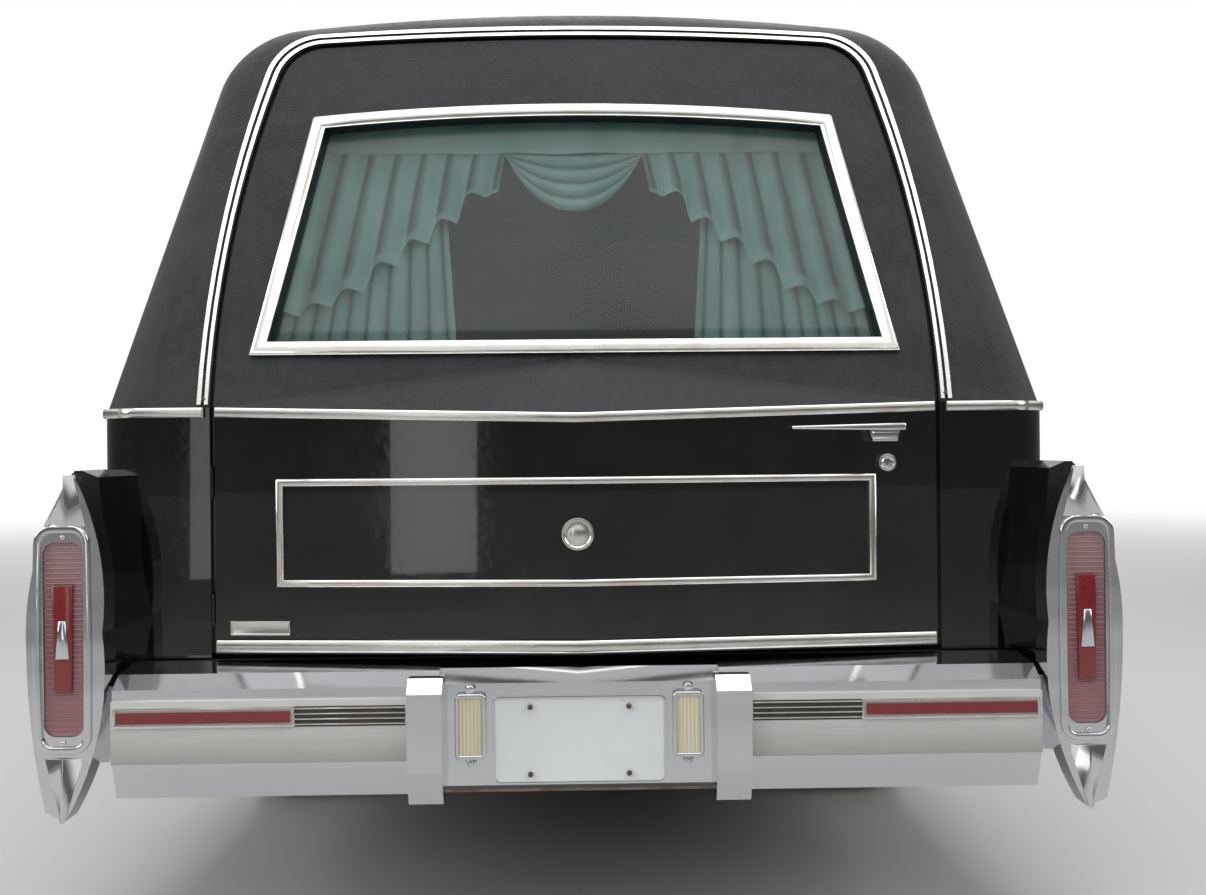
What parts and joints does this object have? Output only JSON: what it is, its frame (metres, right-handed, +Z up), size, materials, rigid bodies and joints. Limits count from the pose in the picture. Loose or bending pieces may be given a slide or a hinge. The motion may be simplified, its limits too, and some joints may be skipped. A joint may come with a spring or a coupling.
{
  "type": "funeral hearse",
  "caption": "Long funeral coach with a raised padded roof, side-hinged rear door with curtained window, four side doors, opening hood, steered front wheels and rolling wheels.",
  "frame": {"origin": "on the ground, under the middle of the vehicle", "axes": "+Y towards the front, +X towards the right-hand side, +Z up"},
  "size_m": [2.16, 6.223, 1.8759],
  "materials": {
    "vinyl": "satin grained black vinyl",
    "black_paint": "high gloss black",
    "clear_glass": "clear, faintly green",
    "bright_trim": "polished",
    "bumper_chrome": "polished",
    "velvet": "crushed velvet",
    "underbody": "dull black",
    "lamp_glass": "ribbed, warm white",
    "impact_strip": "silver grey",
    "tail_lens": "ribbed translucent red",
    "frame_steel": "dull black",
    "cast_metal": "rough",
    "exhaust_steel": "dull",
    "seat_cloth": "pleated cloth",
    "interior_trim": "grained",
    "deck_wood": "varnished",
    "tyre_rubber": "matt with a white band",
    "wheel_cover": "polished"
  },
  "bodies": {
    "body": {"axles": "frame_steel", "body_frame": "black_paint", "body_mouldings": "bright_trim", "bulkhead": "interior_trim", "bumper_reflectors": "tail_lens", "casket_deck": "deck_wood", "chassis_frame": "frame_steel", "clear_lamps": "lamp_glass", "dashboard": "interior_trim", "engine": "cast_metal", "exhaust_and_tank": "exhaust_steel", "floor_pan": "underbody", "front_bumper": "bumper_chrome", "front_fenders": "black_paint", "front_seat": "seat_cloth", "grille": "bright_trim", "nose_panel": "black_paint", "quarters": "black_paint", "rear_bumper": "bumper_chrome", "roof_shell": "vinyl", "rub_strips": "impact_strip", "tail_bezels": "bumper_chrome", "tail_lenses": "tail_lens", "windscreen": "clear_glass"},
    "front_door_left": {"door_mirror_left": "bright_trim", "front_door_glass_left": "clear_glass", "front_door_panel_left": "black_paint"},
    "front_door_right": {"door_mirror_right": "bright_trim", "front_door_glass_right": "clear_glass", "front_door_panel_right": "black_paint"},
    "hood": {"hood": "black_paint"},
    "knuckle_left": {"knuckle_left": "cast_metal"},
    "knuckle_right": {"knuckle_right": "cast_metal"},
    "rear_door": {"rear_door_drapes": "velvet", "rear_door_glass": "clear_glass", "rear_door_panel": "black_paint", "rear_door_trim": "bright_trim"},
    "rear_side_door_left": {"rear_side_door_drape_left": "velvet", "rear_side_door_glass_left": "clear_glass", "rear_side_door_panel_left": "black_paint"},
    "rear_side_door_right": {"rear_side_door_drape_right": "velvet", "rear_side_door_glass_right": "clear_glass", "rear_side_door_panel_right": "black_paint"},
    "wheel_front_left": {"rim_front_left": "wheel_cover", "tyre_front_left": "tyre_rubber"},
    "wheel_front_right": {"rim_front_right": "wheel_cover", "tyre_front_right": "tyre_rubber"},
    "wheel_rear_left": {"rim_rear_left": "wheel_cover", "tyre_rear_left": "tyre_rubber"},
    "wheel_rear_right": {"rim_rear_right": "wheel_cover", "tyre_rear_right": "tyre_rubber"},
    "steering_wheel": {"steering_wheel": "interior_trim"}
  },
  "joints": [
    {"name": "front_door_left_hinge", "type": "hinge", "parent": "body", "child": "front_door_left", "pos_m": [-0.957, 1.404, 0.7], "axis": [0, 0, -1], "range_deg": [0, 68]},
    {"name": "front_door_right_hinge", "type": "hinge", "parent": "body", "child": "front_door_right", "pos_m": [0.957, 1.404, 0.7], "axis": [0, 0, 1], "range_deg": [0, 68]},
    {"name": "rear_side_door_left_hinge", "type": "hinge", "parent": "body", "child": "rear_side_door_left", "pos_m": [-0.957, 0.326, 0.7], "axis": [0, 0, -1], "range_deg": [0, 68]},
    {"name": "rear_side_door_right_hinge", "type": "hinge", "parent": "body", "child": "rear_side_door_right", "pos_m": [0.957, 0.326, 0.7], "axis": [0, 0, 1], "range_deg": [0, 68]},
    {"name": "rear_door_hinge", "type": "hinge", "parent": "body", "child": "rear_door", "pos_m": [-0.688, -2.928, 0.8], "axis": [0, 0, -1], "range_deg": [0, 100]},
    {"name": "hood_hinge", "type": "hinge", "parent": "body", "child": "hood", "pos_m": [0, 1.532, 0.975], "axis": [1, 0, 0], "range_deg": [0, 50]},
    {"name": "steer_left", "type": "hinge", "parent": "body", "child": "knuckle_left", "pos_m": [-0.743, 2.0515, 0.359], "axis": [0, 0, 1], "range_deg": [-32, 32]},
    {"name": "steer_right", "type": "hinge", "parent": "body", "child": "knuckle_right", "pos_m": [0.743, 2.0515, 0.359], "axis": [0, 0, 1], "range_deg": [-32, 32]},
    {"name": "steering_wheel_turn", "type": "hinge", "parent": "body", "child": "steering_wheel", "pos_m": [-0.4, 1, 0.85], "axis": [0, -0.9063, 0.4226], "range_deg": [-480, 480]},
    {"name": "wheel_front_left_spin", "type": "hinge", "parent": "knuckle_left", "child": "wheel_front_left", "pos_m": [-0.783, 2.0515, 0.359], "axis": [1, 0, 0], "continuous": true},
    {"name": "wheel_front_right_spin", "type": "hinge", "parent": "knuckle_right", "child": "wheel_front_right", "pos_m": [0.783, 2.0515, 0.359], "axis": [1, 0, 0], "continuous": true},
    {"name": "wheel_rear_left_spin", "type": "hinge", "parent": "body", "child": "wheel_rear_left", "pos_m": [-0.771, -1.6315, 0.359], "axis": [1, 0, 0], "continuous": true},
    {"name": "wheel_rear_right_spin", "type": "hinge", "parent": "body", "child": "wheel_rear_right", "pos_m": [0.771, -1.6315, 0.359], "axis": [1, 0, 0], "continuous": true}
  ],
  "couplings": [
    {"joint": "steer_right", "follows": "steer_left", "ratio": 1},
    {"joint": "steering_wheel_turn", "follows": "steer_left", "ratio": 15}
  ]
}
